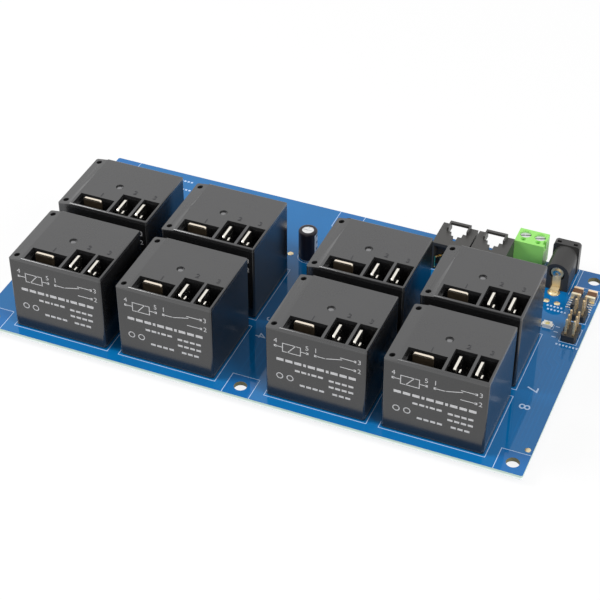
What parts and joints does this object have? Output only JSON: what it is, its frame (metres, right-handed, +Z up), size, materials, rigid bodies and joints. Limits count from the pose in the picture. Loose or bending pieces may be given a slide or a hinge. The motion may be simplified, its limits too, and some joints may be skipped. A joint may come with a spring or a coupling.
{
  "type": "relay module board",
  "caption": "Blue circuit board carrying rows of black sealed power relays, with a screw terminal, barrel power jack, modular jacks and pin headers at one corner.",
  "frame": {"origin": "centre of the circuit board on its underside", "axes": "+X along the board's long edge towards the connectors, +Y towards the edge that the jacks open to, +Z up through the relays"},
  "size_m": [0.1842, 0.1032, 0.0324],
  "materials": {
    "solder_mask": "glossy blue solder mask",
    "relay_plastic": "smooth black moulding",
    "relay_base_plastic": "black moulding",
    "brass_blade": "stamped, bright",
    "tinned_blade": "tin plated",
    "tinned_copper": "tin plated",
    "solder": "bright solder",
    "aluminium_can": "drawn, bright",
    "capacitor_sleeve": "shrunk sleeve with a pale stripe",
    "jack_plastic": "black moulding",
    "gold_contact": "gold plated",
    "terminal_green": "green moulding",
    "screw_steel": "zinc plated",
    "clamp_steel": "zinc plated",
    "barrel_plastic": "black moulding",
    "pin_nickel": "nickel plated",
    "header_plastic": "black moulding",
    "header_gold": "gold plated",
    "chip_plastic": "moulded epoxy",
    "chip_ceramic": "fired ceramic",
    "chip_end": "tinned, warm",
    "led_white": "white frame, clear window"
  },
  "bodies": {
    "board_assembly": {"board": "solder_mask", "relay_cover_1": "relay_plastic", "relay_cover_2": "relay_plastic", "relay_cover_3": "relay_plastic", "relay_cover_4": "relay_plastic", "relay_cover_5": "relay_plastic", "relay_cover_6": "relay_plastic", "relay_cover_7": "relay_plastic", "relay_cover_8": "relay_plastic", "relay_base_1": "relay_base_plastic", "relay_base_2": "relay_base_plastic", "relay_base_3": "relay_base_plastic", "relay_base_4": "relay_base_plastic", "relay_base_5": "relay_base_plastic", "relay_base_6": "relay_base_plastic", "relay_base_7": "relay_base_plastic", "relay_base_8": "relay_base_plastic", "com_tab_1": "brass_blade", "com_tab_2": "brass_blade", "com_tab_3": "brass_blade", "com_tab_4": "brass_blade", "com_tab_5": "brass_blade", "com_tab_6": "brass_blade", "com_tab_7": "brass_blade", "com_tab_8": "brass_blade", "switch_tabs_1": "tinned_blade", "switch_tabs_2": "tinned_blade", "switch_tabs_3": "tinned_blade", "switch_tabs_4": "tinned_blade", "switch_tabs_5": "tinned_blade", "switch_tabs_6": "tinned_blade", "switch_tabs_7": "tinned_blade", "switch_tabs_8": "tinned_blade", "relay_pins": "tinned_copper", "solder_joints": "solder", "capacitor_can": "aluminium_can", "capacitor_sleeve": "capacitor_sleeve", "capacitor_leads": "tinned_copper", "jack_housing_1": "jack_plastic", "jack_housing_2": "jack_plastic", "jack_contacts_1": "gold_contact", "jack_contacts_2": "gold_contact", "terminal_housing": "terminal_green", "terminal_contacts": "tinned_copper", "barrel_housing": "barrel_plastic", "barrel_pin": "pin_nickel", "barrel_contacts": "gold_contact", "header_base": "header_plastic", "header_pins": "header_gold", "ic_body": "chip_plastic", "ic_leads": "solder", "chip_bodies": "chip_ceramic", "chip_ends": "chip_end", "led_body": "led_white", "led_ends": "solder"},
    "screw_1": {"terminal_screw_1": "screw_steel"},
    "screw_2": {"terminal_screw_2": "screw_steel"},
    "clamp_1": {"terminal_clamp_1": "clamp_steel"},
    "clamp_2": {"terminal_clamp_2": "clamp_steel"}
  },
  "joints": [
    {"name": "terminal_screw_1_turn", "type": "hinge", "parent": "board_assembly", "child": "screw_1", "pos_m": [0.06226, 0.0497, 0.0096], "axis": [0, 0, -1], "range_deg": [0, 1440]},
    {"name": "terminal_clamp_1_rise", "type": "slide", "parent": "board_assembly", "child": "clamp_1", "axis": [0, 0, 1], "range_m": [0, 0.002]},
    {"name": "terminal_screw_2_turn", "type": "hinge", "parent": "board_assembly", "child": "screw_2", "pos_m": [0.06734, 0.0497, 0.0096], "axis": [0, 0, -1], "range_deg": [0, 1440]},
    {"name": "terminal_clamp_2_rise", "type": "slide", "parent": "board_assembly", "child": "clamp_2", "axis": [0, 0, 1], "range_m": [0, 0.002]}
  ],
  "couplings": [
    {"joint": "terminal_screw_1_turn", "follows": "terminal_clamp_1_rise", "rad_per_m": 12566},
    {"joint": "terminal_screw_2_turn", "follows": "terminal_clamp_2_rise", "rad_per_m": 12566}
  ]
}
